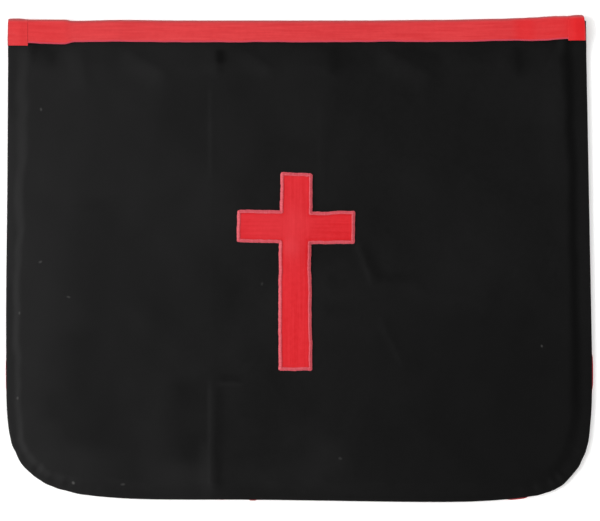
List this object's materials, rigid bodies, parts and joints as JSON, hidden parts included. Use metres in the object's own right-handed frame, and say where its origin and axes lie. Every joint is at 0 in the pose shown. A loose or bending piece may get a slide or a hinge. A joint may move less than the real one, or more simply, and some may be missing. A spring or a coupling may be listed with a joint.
{
  "type": "ceremonial apron",
  "caption": "Flat waist apron of black cloth with rounded lower corners, a red ribbon waistband, a red cloth backing and a red cross with a raised stitched border.",
  "frame": {"origin": "middle of the rectangle that the apron covers, on the surface that it lies on", "axes": "+X across the apron to its right as it is looked at, +Y towards the waistband, +Z out of the face"},
  "size_m": [0.4064, 0.3362, 0.0078],
  "materials": {
    "black_cloth": "matt black plain weave",
    "red_backing": "matt red plain weave",
    "red_ribbon": "fine ribbed ribbon with a soft sheen",
    "red_cross_cloth": "smooth red cloth",
    "border_thread": "close raised stitching with a soft sheen"
  },
  "bodies": {
    "root": {"face_cloth": "black_cloth", "back_cloth": "red_backing", "waistband": "red_ribbon", "end_tab_left": "red_ribbon", "end_tab_right": "red_ribbon", "cross_cloth": "red_cross_cloth", "cross_border": "border_thread"}
  },
  "joints": []
}
